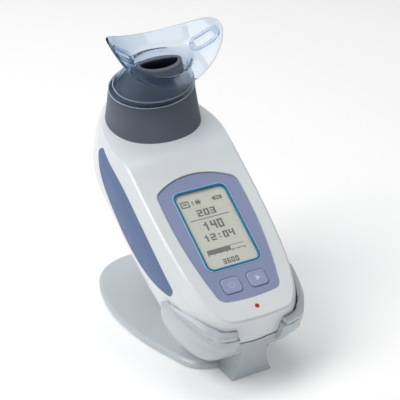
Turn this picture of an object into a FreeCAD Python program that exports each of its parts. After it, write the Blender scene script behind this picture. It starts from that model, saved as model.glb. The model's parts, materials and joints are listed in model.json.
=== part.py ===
import FreeCAD, Part
import math
import os

os.makedirs("parts", exist_ok=True)
V = FreeCAD.Vector

# The trainer leans back in its charging cradle. Handset sizes are in its own frame: x across,
# depth measured back from the flat face, height measured up the body from the charge light.

# Place of the handset: the charge light's centre on the face, and the lean from upright
lean = 56.7
light_y = -69.3
light_z = 45.0

# Handset body, outline of the flat face and how it swells behind the face
face_half = 32.0
face_bottom = -6.5
corner_half = 21.3
corner_height = -3.2
corner_round = 3.2
face_top = 147.0
face_middle = 70.0
body_depth = 44.0
knee_depth = 12.0
widest_depth = 18.0
back_span = 26.5
side_swell = 6.6
side_tuck = 16.0
end_swell = 3.9
end_tuck = 22.0
top_swell = 3.5
top_tuck = 14.0
edge_break = 0.8
wall = 2.6

# Sloping seat of the valve head at the top of the face
ramp_start = 96.0
ramp_angle = 17.0
ramp_radius = 40.0

# Parting line between the two covers
part_depth = 7.0
part_low_middle = 8.6
part_low_depth = 13.0
part_high_middle = 13.8
part_high_depth = 25.5
part_straight = (30.0, 88.0)

# Side grips
grip_low = 19.0
grip_high = 119.5
grip_back = 27.0
grip_sink = 1.2

# Lavender panel, display and keys
panel_half = 24.2
panel_low_half = 17.6
panel_top = 81.9
panel_shoulder = 74.0
panel_bottom = 5.2
panel_sunk = 0.7
panel_flange_thick = 1.2
panel_gap = 0.15
panel_corner = 5.5
display_wide = 30.0
display_tall = 46.0
display_center = 49.0
display_corner = 3.2
bezel_width = 2.2
bezel_proud = 0.35
window_front = 1.0
window_thick = 1.0
key_wide = 10.6
key_tall = 8.8
key_offset = 7.7
key_height = 14.7
key_corner = 2.2
key_gap = 0.3
key_proud = 0.5
key_travel = 0.6
key_flange = 0.9

# Electronics
board_depth = 8.0
board_half = 23.0
board_foot_half = 10.5
board_low = 2.0
board_top = 90.0
board_thick = 1.6
mat_thick = 0.8
dome_radius = 2.6
cell_radius = 7.1
cell_length = 50.0
cell_low = 22.0
cell_gap = 0.2
tray_wall = 1.6
light_radius = 1.25
sounder_radius = 6.0
sounder_thick = 3.0
sensor_side = 8.0
sensor_thick = 5.0
boss_radius = 3.0
boss_split = 20.0
contact_radius = 2.2
contact_offset = 3.6
contact_y = -50.0

# Air path
duct_height = 122.0
duct_radius = 8.2
duct_wall = 1.6
throttle_depth = 27.0
throttle_radius = 7.9
throttle_thick = 1.4
shaft_radius = 1.0
shaft_gap = 0.05
motor_radius = 7.5
motor_length = 11.5
motor_gap = 0.2
port_radius = 7.0
nozzle_radius = 7.9
nozzle_reach = 16.0
gasket_inner = 9.4
gasket_outer = 12.0
grille_slots = 5
slot_wide = 1.8
slot_pitch = 3.2
slot_long = 13.0

# Valve head: collar from the ring down to its foot, and the spigot above it
ring_front = 6.0
ring_height = 136.8
ring_wide = 25.6
ring_tall = 15.2
foot_depth = 12.0
foot_height = 126.0
foot_wide = 25.6
foot_low_reach = 31.5
foot_top_reach = 24.6
head_wall = 2.2
head_gap = 0.3
seat_thick = 2.0
skirt_depth = 2.1
plate_thick = 1.6
spigot_front = 25.0
spigot_height = 137.4
spigot_wide = 13.6
spigot_tall = 8.3
spigot_foot_wide = 20.8
spigot_foot_tall = 12.3
spigot_wall = 2.1
flap_thick = 0.7
flap_gap = 0.05
inhale_radius = 8.6
exhale_half = 4.5
exhale_tall = 6.0
exhale_depth = 2.5
exhale_floor = 149.7
recess_margin = 2.4

# Mouthpiece
flange_front = 30.0
flange_height = 137.6
flange_wide = 65.0
flange_tall = 37.0
flange_power = 2.4
flange_taper = 0.17
flange_bend = 50.0
flange_thick = 1.6
mouth_wall = 1.8
step_front = 10.5
step_inset = 1.0
waist_front = 21.0
waist_wide = 19.0
waist_tall = 12.0
throat_wide = 16.6
throat_tall = 8.2
shoulder_gap = 0.1
tab_start = 17.5
tab_long = 13.0
tab_tall = 8.8
tab_height = 139.4
tab_rise = 3.0
tab_rim = 1.6

# Cradle: saddle round the handset's lower end, pedestal, leaf-shaped base
cup_gap = 0.4
cup_wall = 2.6
lip_extra = 0.7
cup_mouth_half = 12.9
rim_front_depth = 8.6
rim_front_height = -9.6
arm_tip_depth = 17.5
arm_tip_height = 24.0
arm_back_height = 15.0
foot_drop = 0.6
plate_front = -52.5
plate_back = 74.5
plate_half = 37.4
plate_edge = 4.8
block_front = -65.2
block_half = 12.0
waist_height = 13.7
waist_lean = 1.6
waist_half = 7.9
block_top = 26.0
block_top_lean = 3.0
block_top_half = 9.5
block_back = -14.0
block_back_height = 13.0
pocket_half = 7.2
pocket_wall = 2.2
pocket_top = 11.4
cover_thick = 1.6
cover_inset = 3.0
cover_gap = 0.15
cradle_board_thick = 1.6
contact_block_top = 6.6
pin_radius = 1.0
pin_gap = 0.05
pin_travel = 0.8
inlet_radius = 2.8
inlet_half = 4.5
inlet_long = 9.5
inlet_height = 6.6
foot_radius = 5.0
foot_recess = 0.6
screw_radius = 1.5
head_radius = 2.8
head_thick = 1.0
case_head_radius = 2.4
case_head_thick = 2.0
case_land = 4.0
screw_bite = 2.0

LOCAL = FreeCAD.Placement(V(0, light_y, light_z), FreeCAD.Rotation(V(1, 0, 0), -lean))


def stand(shape):
    """Move a shape from the handset's own frame into the leaning place."""
    placed = shape.copy()
    placed.Placement = LOCAL.multiply(placed.Placement)
    return placed


def save(name, shape):
    shape.exportStep("parts/" + name + ".step")


def closed_spline(points):
    curve = Part.BSplineCurve()
    curve.interpolate(Points=points, PeriodicFlag=True)
    return Part.Wire([curve.toShape()])


def arc(a, b, c):
    return Part.Arc(a, b, c).toShape()


def oval(wide, low_reach, top_reach, height, depth):
    """Closed oval facing the mouth: half an ellipse below its widest height and half above."""
    halves = []
    for reach, turn in ((top_reach, 1), (low_reach, -1)):
        half = Part.Arc(V(1, 0, 0), V(0, 0, turn), V(-1, 0, 0)).toShape()
        stretch = FreeCAD.Matrix()
        stretch.scale(wide, 1.0, reach)
        half = half.transformGeometry(stretch)
        half.translate(V(0, depth, height))
        halves.append(half)
    return Part.Wire(Part.__sortEdges__([e for half in halves for e in half.Edges]))


def ellipse(wide, tall, height, depth):
    return oval(wide, tall, tall, height, depth)


def loft(wires, ruled=True):
    return Part.makeLoft(wires, True, ruled)


def box(x0, x1, y0, y1, z0, z1):
    return Part.makeBox(x1 - x0, y1 - y0, z1 - z0, V(x0, y0, z0))


def rounded_box(x0, x1, y0, y1, z0, z1, radius):
    """Box with its four edges along the depth rounded."""
    body = box(x0, x1, y0, y1, z0, z1)
    edges = [e for e in body.Edges if abs(e.tangentAt(e.FirstParameter).y) > 0.9]
    return body.makeFillet(radius, edges)


def rod(radius, start, length, direction):
    return Part.makeCylinder(radius, length, start, direction)


def tube(outer, inner, start, length, direction):
    return rod(outer, start, length, direction).cut(rod(inner, start, length, direction))


def sweep_x(points_wire, half):
    """Solid of a side-view outline, from -half to half across."""
    face = Part.Face(points_wire)
    solid = face.extrude(V(2 * half, 0, 0))
    solid.translate(V(-half, 0, 0))
    return solid


# Handset body forms

def tuck(depth, inset=0.0):
    """How far the back curve has turned in at a depth, from 0 to 1."""
    share = (depth - widest_depth) / (back_span - inset)
    return 1 - math.sqrt(1 - share * share)


def swell(depth, most, tucked, inset):
    """Growth over the face outline at a depth: straight to the knee, then rounded to the back."""
    if depth < knee_depth:
        return depth / knee_depth * (most - tucked * tuck(knee_depth, inset))
    return most - tucked * tuck(depth, inset)


def body_wire(depth, inset):
    """Outline of the body at a depth, drawn in by the inset."""
    across = (face_half + swell(depth, side_swell, side_tuck, inset) - inset) / face_half
    low_reach = face_middle - face_bottom
    low = (low_reach + swell(depth, end_swell, end_tuck, inset) - inset) / low_reach
    high_reach = face_top - face_middle
    high = (high_reach + swell(depth, top_swell, top_tuck, inset) - inset) / high_reach
    side = [(0.0, face_top), (0.484 * face_half, 142.0), (0.766 * face_half, 129.0), (0.97 * face_half, 112.0),
            (face_half, 92.0), (face_half, face_middle), (0.98 * face_half, 47.0), (0.925 * face_half, 25.4),
            (corner_half + 3.4, 4.6), (corner_half + 0.4, corner_height + 0.7 * corner_round),
            (corner_half - 0.8 * corner_round, corner_height - 1.0), (0.45 * corner_half, face_bottom + 0.5)]

    def place(x, height):
        scale = low if height < face_middle else high
        return V(x * across, depth, face_middle + (height - face_middle) * scale)

    right = [place(x, h) for x, h in side]
    left = [V(-p.x, p.y, p.z) for p in reversed(right[1:])]
    return closed_spline(right + [place(0, face_bottom)] + left)


def body_form(inset, first, last):
    """Closed body form between two depths, with every outline drawn in by the inset."""
    front = [body_wire(first, inset + edge_break), body_wire(first + edge_break, inset),
             body_wire(knee_depth, inset)]
    steps = 6
    depths = [knee_depth + (last - knee_depth) * math.sin(math.pi / 2 * i / steps) for i in range(steps + 1)]
    back = [body_wire(d, inset) for d in depths]
    return loft(front).fuse(loft(back, False))


def ramp_wire(offset):
    """Side view of the space in front of the face and the sloping seat."""
    angle = math.radians(ramp_angle)
    reach = ramp_radius * math.tan(angle / 2)
    far = 90.0
    start = V(0, offset, ramp_start - reach)
    middle = V(0, offset + ramp_radius * (1 - math.cos(angle / 2)),
               ramp_start - reach + ramp_radius * math.sin(angle / 2))
    end = V(0, offset + reach * math.sin(angle), ramp_start + reach * math.cos(angle))
    top = V(0, offset + far * math.sin(angle), ramp_start + far * math.cos(angle))
    low = V(0, offset, -60)
    corners = [top, V(0, -90, top.z), V(0, -90, low.z), low, start]
    return Part.Wire([arc(start, middle, end), Part.makeLine(end, top)]
                     + [Part.makeLine(a, b) for a, b in zip(corners, corners[1:])])


def ramp_space(offset):
    return sweep_x(ramp_wire(offset), 60.0)


def ramp_slab(first, last):
    return ramp_space(last).cut(ramp_space(first))


def part_space():
    """Space in front of the parting line: level along the grips, deeper at both ends."""
    low = V(0, part_low_depth, face_bottom - 14)
    knee = V(0, part_depth, part_straight[0])
    high_knee = V(0, part_depth, part_straight[1])
    high = V(0, part_high_depth, face_top + 13)
    front_low = V(0, -40, low.z)
    front_high = V(0, -40, high.z)
    edges = [arc(low, V(0, part_low_middle, 6), knee), Part.makeLine(knee, high_knee),
             arc(high_knee, V(0, part_high_middle, 124), high), Part.makeLine(high, front_high),
             Part.makeLine(front_high, front_low), Part.makeLine(front_low, low)]
    return sweep_x(Part.Wire(edges), 60.0)


def grip_prism(side):
    """Almond seen from the side, reaching inwards from outside the body."""
    low = V(0, part_depth + 3.4, grip_low)
    high = V(0, part_depth + 2.2, grip_high)
    front = arc(low, V(0, part_depth + 0.4, 66), high)
    back = arc(high, V(0, grip_back, 62), low)
    prism = Part.Face(Part.Wire([front, back])).extrude(V(side * 34, 0, 0))
    prism.translate(V(side * 14, 0, 0))
    tips = [e for e in prism.Edges if abs(e.tangentAt(e.FirstParameter).x) > 0.9]
    return prism.makeFillet(2.4, tips)


def panel_prism(gap, first, last):
    """Lavender panel outline as a solid between two depths."""
    half = panel_half + gap
    low_half = panel_low_half + gap
    top = panel_top + gap
    bottom = panel_bottom - gap
    shoulder = panel_shoulder
    low_corner = panel_bottom + 1.4
    points = [V(half, first, shoulder), V(-half, first, shoulder),
              V(-low_half, first, low_corner), V(low_half, first, low_corner)]
    edges = [arc(points[0], V(0, first, top), points[1]),
             arc(points[1], V(-0.97 * half, first, 40), points[2]),
             arc(points[2], V(0, first, bottom), points[3]),
             arc(points[3], V(0.97 * half, first, 40), points[0])]
    prism = Part.Face(Part.Wire(edges)).extrude(V(0, last - first, 0))
    uprights = [e for e in prism.Edges if abs(e.tangentAt(e.FirstParameter).y) > 0.9]
    return prism.makeFillet(panel_corner, uprights)


def display_prism(margin, first, last):
    half = display_wide / 2 + margin
    tall = display_tall / 2 + margin
    return rounded_box(-half, half, first, last, display_center - tall, display_center + tall,
                       display_corner + margin)


def key_prism(side, gap, first, last):
    half = key_wide / 2 + gap
    tall = key_tall / 2 + gap
    x = side * key_offset
    return rounded_box(x - half, x + half, first, last, key_height - tall, key_height + tall,
                       key_corner + gap)


# Valve head forms

def collar_form(inset):
    """Oblique collar from the ring to past its foot, lengthened into the body."""
    extra = 12.0
    share = extra / (foot_depth + ring_front)
    height = foot_height + share * (foot_height - ring_height)
    wide = foot_wide + share * (foot_wide - ring_wide)
    low = foot_low_reach + share * (foot_low_reach - ring_tall)
    top = foot_top_reach + share * (foot_top_reach - ring_tall)
    return loft([oval(ring_wide - inset, ring_tall - inset, ring_tall - inset, ring_height, -ring_front),
                 oval(wide - inset, low - inset, top - inset, height, foot_depth + extra)])


def spigot_form(inset, back, front):
    """Tapered oval spigot between two distances in front of the face."""
    sections = []
    for reach in (back, front):
        share = (reach - ring_front) / (spigot_front - ring_front)
        wide = spigot_foot_wide + share * (spigot_wide - spigot_foot_wide) - inset
        tall = spigot_foot_tall + share * (spigot_tall - spigot_foot_tall) - inset
        height = ring_height + share * (spigot_height - ring_height)
        sections.append(ellipse(wide, tall, height, -reach))
    return loft(sections)


# Shared handset forms
outer_body = body_form(0.0, 0.0, body_depth).cut(ramp_space(0.0))
inner_body = body_form(wall, wall, body_depth - wall).cut(ramp_space(wall))
body_shell = outer_body.cut(inner_body)
front_space = part_space()
grip_floor = body_form(grip_sink, grip_sink, body_depth - grip_sink)
board_back = board_depth + board_thick
panel_back = wall + panel_flange_thick
cell_depth = body_depth - wall - tray_wall - cell_gap - cell_radius
lower_boss = (15.0, -1.0)
upper_boss = (22.0, 95.5)
BACK = V(0, 1, 0)
UP = V(0, 0, 1)


def boss_places():
    return [(side * x, h) for x, h in (lower_boss, upper_boss) for side in (-1, 1)]


# Covers and grips

def front_cover():
    cover = body_shell.common(front_space)
    for side in (-1, 1):
        cover = cover.cut(grip(side))
    for x, h in boss_places():
        boss = rod(boss_radius, V(x, 1.2, h), boss_split - 1.2, BACK).common(outer_body)
        cover = cover.fuse(boss)
        cover = cover.cut(rod(screw_radius, V(x, board_depth, h), boss_split, BACK))
    cover = cover.cut(panel_prism(panel_gap, -1.0, wall + 1.0))
    cover = cover.cut(collar_form(-head_gap))
    return cover.cut(rod(light_radius, V(0, -1, 0), wall + 2, BACK))


def grip(side):
    skin = outer_body.common(grip_prism(side))
    return skin.cut(grip_floor)


def motor_saddle():
    low = duct_height - duct_radius - duct_wall - motor_gap - motor_length
    block = box(-5, 5, throttle_depth + 5, body_depth - wall + 0.4, low + 2, low + motor_length - 2)
    return block.cut(rod(motor_radius, V(0, throttle_depth, low), motor_length, UP))


def rear_cover():
    cover = body_shell.cut(front_space)
    for side in (-1, 1):
        cover = cover.cut(grip(side))
    for x, h in boss_places():
        boss = rod(boss_radius, V(x, boss_split, h), body_depth, BACK).common(outer_body)
        cover = cover.fuse(boss)
    for hole in screw_solids() + screw_wells():
        cover = cover.cut(hole)
    cover = cover.fuse(motor_saddle())
    for contact in contact_rods():
        cover = cover.cut(contact)
    first = -(grille_slots - 1) / 2
    for i in range(grille_slots):
        x = (first + i) * slot_pitch
        cover = cover.cut(box(x - slot_wide / 2, x + slot_wide / 2, body_depth - wall - 1, body_depth + 1,
                              duct_height - slot_long / 2, duct_height + slot_long / 2))
    return cover


def screw_solids():
    """Case screws, driven from the back into the front cover's bosses."""
    screws = []
    head_depth = boss_split + case_land
    for x, h in boss_places():
        start = board_depth + screw_bite
        shank = rod(screw_radius, V(x, start, h), head_depth - start + 0.5 * case_head_thick, BACK)
        head = rod(case_head_radius, V(x, head_depth, h), case_head_thick, BACK)
        screws.append(shank.fuse(head))
    return screws


def screw_wells():
    """Wells above the screw heads, open at the back."""
    start = boss_split + case_land + case_head_thick
    return [rod(case_head_radius, V(x, start, h), body_depth, BACK) for x, h in boss_places()]


# Panel, display and keys

def display_surround():
    panel = panel_prism(0.0, panel_sunk, wall + 0.1)
    panel = panel.fuse(panel_prism(2.0, wall, panel_back))
    panel = panel.cut(display_prism(0.15, -1.0, panel_back + 1))
    for side in (-1, 1):
        panel = panel.cut(key_prism(side, key_gap, -1.0, panel_back + 1))
    return panel


def display_bezel():
    rim = display_prism(0.0, panel_sunk - bezel_proud, panel_back + 0.8)
    rim = rim.fuse(display_prism(1.2, panel_back, panel_back + 0.8))
    return rim.cut(display_prism(-bezel_width, -1.0, panel_back + 2))


def display_window():
    return display_prism(-bezel_width - 0.05, window_front, window_front + window_thick)


def lcd_module():
    return display_prism(-bezel_width - 0.3, window_front + window_thick, board_depth)


def key(side):
    cap = key_prism(side, 0.0, panel_sunk - key_proud, panel_back + 0.6)
    front_edges = [e for e in cap.Edges if e.BoundBox.YMax < panel_sunk - key_proud + 0.01]
    cap = cap.makeFillet(0.45, front_edges)
    return cap.fuse(key_prism(side, key_gap + 0.7, panel_back + 0.1, panel_back + 0.1 + key_flange))


def dome_top():
    return panel_back + 0.1 + key_flange + key_travel + 0.1


def key_mat():
    half = key_offset + key_wide / 2 + 1.5
    tall = key_tall / 2 + 1.5
    mat = rounded_box(-half, half, board_depth - mat_thick, board_depth,
                      key_height - tall, key_height + tall, 2.0)
    for side in (-1, 1):
        mat = mat.fuse(rod(dome_radius, V(side * key_offset, dome_top(), key_height),
                           board_depth - dome_top() - 0.3, BACK))
    for disc in dome_switch_discs():
        mat = mat.cut(disc)
    return mat


def dome_switch_discs():
    return [rod(2.0, V(side * key_offset, board_depth - 0.3, key_height), 0.3, BACK) for side in (-1, 1)]


def main_board():
    corners = [(board_foot_half, board_low), (board_half, board_low + 20), (board_half, board_top - 8),
               (board_half - 5, board_top)]
    outline = corners + [(-x, h) for x, h in reversed(corners)]
    points = [V(x, board_depth, h) for x, h in outline]
    board = Part.Face(Part.makePolygon(points + points[:1])).extrude(V(0, board_thick, 0))
    for x, h in boss_places():
        board = board.cut(rod(boss_radius + 0.5, V(x, 0, h), body_depth, BACK))
    return board


def control_chips():
    low = board_low + 34
    return [box(-9, 3, board_back, board_back + 1.6, low, low + 12),
            box(-16, -12, board_back, board_back + 1.4, low + 18, low + 26),
            box(8, 15, board_back, board_back + 1.2, low + 4, low + 9)]


def sounder():
    body = rod(sounder_radius, V(-11, board_back, board_top - 10), sounder_thick, BACK)
    return body.cut(rod(1.0, V(-11, board_back + sounder_thick - 1, board_top - 10), 2, BACK))


def pressure_sensor():
    half = sensor_side / 2
    x = 12.0
    middle = board_top - 10
    body = box(x - half, x + half, board_back, board_back + sensor_thick, middle - half, middle + half)
    return body.fuse(rod(1.4, V(x, board_back + sensor_thick - 0.5, middle), 4.5, BACK))


def charge_light():
    return rod(light_radius, V(0, 0.1, 0), board_depth - 0.1, BACK)


def cells():
    return [rod(cell_radius, V(side * (cell_radius + 0.5), cell_depth, cell_low), cell_length, UP)
            for side in (-1, 1)]


def battery_tray():
    half = 2 * cell_radius + 0.5 + cell_gap + tray_wall
    back = body_depth - wall
    tray = box(-half, half, cell_depth - 2, back, cell_low - tray_wall - cell_gap,
               cell_low + cell_length + cell_gap + tray_wall)
    for side in (-1, 1):
        x = side * (cell_radius + 0.5)
        tray = tray.cut(rod(cell_radius + cell_gap, V(x, cell_depth, cell_low - cell_gap),
                            cell_length + 2 * cell_gap, UP))
        reach = cell_radius + cell_gap
        tray = tray.cut(box(x - reach, x + reach, cell_depth - 6, cell_depth,
                            cell_low - cell_gap, cell_low + cell_length + cell_gap))
    return tray


# Air path inside the handset

def air_duct():
    duct = tube(duct_radius + duct_wall, duct_radius, V(0, 0, duct_height), body_depth - wall, BACK)
    duct = duct.cut(ramp_space(wall + seat_thick))
    return duct.cut(rod(shaft_radius + shaft_gap, V(0, throttle_depth, duct_height - 14), 28, UP))


def valve_motor():
    top = duct_height - duct_radius - duct_wall - motor_gap
    can = rod(motor_radius, V(0, throttle_depth, top - motor_length), motor_length, UP)
    return can.cut(rod(shaft_radius + shaft_gap, V(0, throttle_depth, top - 7.0), 8, UP))


def resistance_flap():
    low = duct_height - duct_radius - duct_wall - motor_gap - 6.5
    top = duct_height + duct_radius + duct_wall + 1.2
    shaft = rod(shaft_radius, V(0, throttle_depth, low), top - low, UP)
    disc = rod(throttle_radius, V(0, throttle_depth - throttle_thick / 2, duct_height), throttle_thick, BACK)
    return disc.fuse(shaft)


def head_seat():
    plate = collar_form(-head_gap - 3.0).common(ramp_slab(wall, wall + seat_thick))
    plate = plate.common(body_form(wall + 0.15, wall, body_depth - wall))
    plate = plate.cut(rod(duct_radius, V(0, 0, duct_height), 40, BACK))
    return plate.cut(gasket_ring(wall - 1.0))


def gasket_ring(start):
    ring = tube(gasket_outer, gasket_inner, V(0, 0, duct_height), 40, BACK)
    return ring.common(ramp_slab(start, wall + 1.0))


def seat_gasket():
    return gasket_ring(skirt_depth + 0.05)


# Valve head

def exhale_box(margin, low, high):
    return box(-exhale_half - margin, exhale_half + margin, exhale_depth - exhale_tall / 2 - margin,
               exhale_depth + exhale_tall / 2 + margin, low, high)


def valve_head():
    shell = collar_form(0.0).common(ramp_space(skirt_depth))
    inside = collar_form(head_wall).common(box(-60, 60, -ring_front + head_wall, 60, 40, 200))
    shell = shell.cut(inside)
    boss = exhale_box(recess_margin + 1.6, exhale_floor - 2.4, exhale_floor + 1)
    shell = shell.fuse(boss.common(collar_form(0.6)))
    shell = shell.fuse(spigot_form(0.0, ring_front, spigot_front))
    shell = shell.cut(spigot_form(spigot_wall, ring_front - head_wall - 0.5, spigot_front + 0.5))
    shell = shell.cut(exhale_box(recess_margin, exhale_floor, exhale_floor + 8))
    return shell.cut(exhale_box(0.0, exhale_floor - 8, exhale_floor + 1))


def valve_plate():
    plate = collar_form(head_wall + 0.05).common(ramp_slab(skirt_depth - plate_thick, skirt_depth))
    nozzle = rod(nozzle_radius, V(0, 0, duct_height), nozzle_reach, BACK).cut(ramp_space(skirt_depth - 0.5))
    return plate.fuse(nozzle).cut(rod(port_radius, V(0, -5, duct_height), 40, BACK))


def inhale_flap():
    disc = rod(inhale_radius, V(0, -5, duct_height), 40, BACK)
    top = skirt_depth - plate_thick - flap_gap
    return disc.common(ramp_slab(top - flap_thick, top))


def exhale_flap():
    return exhale_box(recess_margin - 0.4, exhale_floor + flap_gap, exhale_floor + flap_gap + flap_thick)


# Mouthpiece

def flange_outline(first, last):
    """Rounded oblong that narrows towards the lower lip, as a solid along the mouth's direction."""
    count = 28
    points = []
    for i in range(count):
        turn = 2 * math.pi * i / count
        across = math.copysign(abs(math.cos(turn)) ** (2 / flange_power), math.cos(turn))
        along = math.copysign(abs(math.sin(turn)) ** (2 / flange_power), math.sin(turn))
        points.append(V(flange_wide / 2 * across * (1 + flange_taper * along), first,
                        flange_height + flange_tall / 2 * along))
    return Part.Face(closed_spline(points)).extrude(V(0, last - first, 0))


def bend(radius):
    """Cylinder of the wings' bend, lying along the body's height."""
    return rod(radius, V(0, -flange_front - flange_bend, flange_height - 60), 120, UP)


def mouthpiece():
    rim = loft([ellipse(ring_wide, ring_tall, ring_height, -ring_front - shoulder_gap),
                ellipse(ring_wide - 1.0, ring_tall - 0.8, ring_height, -step_front)])
    top_front = flange_front + 5.0
    lower = ellipse(ring_wide - 1.0 - step_inset, ring_tall - 0.8 - step_inset, ring_height, -step_front)
    waist = ellipse(waist_wide, waist_tall, 0.5 * (ring_height + flange_height), -waist_front)
    upper = ellipse(throat_wide + mouth_wall, throat_tall + mouth_wall, flange_height, -top_front)
    solid = rim.fuse(loft([lower, waist])).fuse(loft([waist, upper])).cut(bend(flange_bend))
    shell = bend(flange_bend + flange_thick).cut(bend(flange_bend))
    solid = solid.fuse(shell.common(flange_outline(-flange_front - 30, -flange_front + 8)))
    solid = solid.fuse(bite_tab(-1)).fuse(bite_tab(1))
    bore_low = ellipse(ring_wide - mouth_wall - 0.4, ring_tall - mouth_wall - 0.3, ring_height, -ring_front)
    bore_step = ellipse(ring_wide - mouth_wall - 1.2, ring_tall - mouth_wall - 0.8, ring_height, -step_front)
    bore_waist = ellipse(waist_wide - mouth_wall, waist_tall - mouth_wall + 0.1,
                         0.5 * (ring_height + flange_height), -waist_front)
    bore_top = ellipse(throat_wide, throat_tall, flange_height, -top_front - 1)
    for pair in ((bore_low, bore_step), (bore_step, bore_waist), (bore_waist, bore_top)):
        solid = solid.cut(loft(list(pair)))
    return solid


def bite_tab(side):
    """Raised loop on a wing, held between the teeth."""
    first = -flange_front - 30
    last = -flange_front + 8
    start = tab_start if side > 0 else -tab_start - tab_long
    outer = rounded_box(start, start + tab_long, first, last,
                        tab_height - tab_tall / 2, tab_height + tab_tall / 2, 3.0)
    inner = rounded_box(start + tab_rim, start + tab_long - tab_rim, first, last,
                        tab_height - tab_tall / 2 + tab_rim, tab_height + tab_tall / 2 - tab_rim, 2.0)
    raised = bend(flange_bend + 0.4).cut(bend(flange_bend - tab_rise))
    return outer.cut(inner).common(raised)


# Cradle

def leaf_points(half, front, back, height):
    stations = [(0.0, 0.0), (0.012, 0.37), (0.06, 0.65), (0.165, 0.79), (0.29, 0.91), (0.45, 0.99),
                (0.58, 1.0), (0.72, 0.93), (0.84, 0.80), (0.93, 0.60), (0.98, 0.34), (1.0, 0.0)]
    right = [V(half * w, front + (back - front) * share, height) for share, w in stations]
    left = [V(-p.x, p.y, p.z) for p in reversed(right[1:-1])]
    return right + left


def leaf_wire(half, front, back, height):
    return closed_spline(leaf_points(half, front, back, height))


def base_plate():
    """Leaf-shaped base with a softly broken edge, dished up towards the pedestal."""
    length = plate_back - plate_front
    low = leaf_wire(plate_half - 0.6, plate_front + 0.6, plate_back - 0.6, foot_drop)
    edge = leaf_wire(plate_half, plate_front, plate_back, foot_drop + 1.2)
    upper = leaf_wire(plate_half, plate_front, plate_back, plate_edge - 1.2)
    top = leaf_wire(plate_half - 1.2, plate_front + 1.2, plate_back - 1.2, plate_edge)
    rim = loft([low, edge, upper, top])
    crown = [top]
    for width, front, reach, rise in ((0.80, 0.6, 0.80, 0.9), (0.58, 0.0, 0.56, 3.4), (0.40, -1.0, 0.34, 8.6)):
        crown.append(leaf_wire(width * plate_half, plate_front + front, plate_front + reach * length,
                               plate_edge + rise))
    return rim.fuse(loft(crown, False))


def block_wire(height, front, front_half, back, back_half):
    points = [V(-front_half, front, height), V(front_half, front, height),
              V(back_half, back, height), V(-back_half, back, height)]
    return Part.makePolygon(points + points[:1])


def pedestal():
    low = block_wire(foot_drop, block_front, block_half, block_back, block_half)
    waist = block_wire(waist_height, block_front - waist_lean, waist_half, block_back, block_half - 2)
    top = block_wire(block_top, block_front - block_top_lean, block_top_half, block_back, block_half - 2)
    block = loft([low, waist, top], False)
    space = box(-40, 40, -45, 10, block_back_height, 60)
    return block.cut(space)


def saddle():
    profile = [V(0, rim_front_depth, rim_front_height), V(0, arm_tip_depth, arm_tip_height),
               V(0, body_depth + 8, arm_back_height), V(0, body_depth + 8, -40), V(0, rim_front_depth, -40)]
    region = sweep_x(Part.makePolygon(profile + profile[:1]), 60.0)
    bowl = body_form(-cup_gap - cup_wall, 0.0, body_depth + cup_gap + cup_wall)
    lip = body_form(-cup_gap - cup_wall - lip_extra, 0.0, body_depth + cup_gap + cup_wall)
    lip = lip.common(box(-80, 80, -10, widest_depth, -60, 120))
    return bowl.fuse(lip).common(region)


def mouth_wedge():
    """Space in front of the block's face, cleared between the two arms of the saddle."""
    slope = block_top_lean / (block_top - foot_drop)
    high = 60.0
    points = [V(0, block_front, foot_drop), V(0, block_front - slope * high, foot_drop + high),
              V(0, block_front - 60, foot_drop + high), V(0, block_front - 60, foot_drop)]
    return sweep_x(Part.makePolygon(points + points[:1]), cup_mouth_half)


def pocket():
    front = block_front + pocket_wall + 1.0
    return box(-pocket_half, pocket_half, front, block_back - pocket_wall, -1, pocket_top)


def cradle_shell():
    shell = pedestal().fuse(base_plate()).cut(pocket())
    shell = shell.fuse(stand(saddle()).cut(mouth_wedge()))
    shell = shell.cut(stand(body_form(-cup_gap, -6.0, body_depth + cup_gap)))
    shell = shell.cut(cover_blank(0.0, foot_drop - 1, foot_drop + cover_thick))
    shell = shell.cut(rod(inlet_radius + 0.3, V(0, block_back - 6, inlet_height), 12, BACK))
    for side in (-1, 1):
        shell = shell.cut(rod(pin_radius + 0.2, V(side * contact_offset, contact_y, 2), 14, UP))
    for screw in base_screws():
        shell = shell.cut(screw)
    return shell


def cover_blank(gap, low, high):
    leaf = Part.Face(leaf_wire(plate_half - cover_inset - gap, plate_front + cover_inset + gap,
                               plate_back - cover_inset - gap, low)).extrude(V(0, 0, high - low))
    half = pocket_half + 1.0 - gap
    return leaf.fuse(box(-half, half, block_front + 2.0 + gap, plate_front + 12, low, high))


def foot_places():
    return [(-19.0, -38.0), (19.0, -38.0), (-22.0, 48.0), (22.0, 48.0)]


def screw_places():
    return [(-12.0, -24.0), (12.0, -24.0), (-15.0, 28.0), (15.0, 28.0)]


def base_cover():
    cover = cover_blank(cover_gap, foot_drop, foot_drop + cover_thick)
    for x, y in foot_places():
        cover = cover.cut(rod(foot_radius, V(x, y, 0), foot_drop + foot_recess, UP))
    for screw in base_screws():
        cover = cover.cut(screw)
    return cover


def rubber_feet():
    return [rod(foot_radius, V(x, y, 0), foot_drop + foot_recess, UP) for x, y in foot_places()]


def base_screws():
    screws = []
    for x, y in screw_places():
        head = rod(head_radius, V(x, y, foot_drop), head_thick, UP)
        screws.append(head.fuse(rod(screw_radius, V(x, y, foot_drop), 3.6, UP)))
    return screws


def cradle_board():
    low = foot_drop + cover_thick
    half = pocket_half - 0.2
    back = block_back - pocket_wall - inlet_long - 0.4
    return box(-half, half, block_front + pocket_wall + 2, back, low, low + cradle_board_thick)


def contact_block():
    low = foot_drop + cover_thick + cradle_board_thick
    block = box(-pocket_half + 0.6, pocket_half - 0.6, contact_y - 4, contact_y + 4, low, contact_block_top)
    for side in (-1, 1):
        block = block.cut(rod(pin_radius + pin_gap, V(side * contact_offset, contact_y, low), 10, UP))
    return block


def touch_height(x, y):
    """Height of the handset's underside above a point of the base."""
    upright = Part.makeLine(V(x, y, 0), V(x, y, 40))
    return upright.common(stand(outer_body)).BoundBox.ZMin


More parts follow.
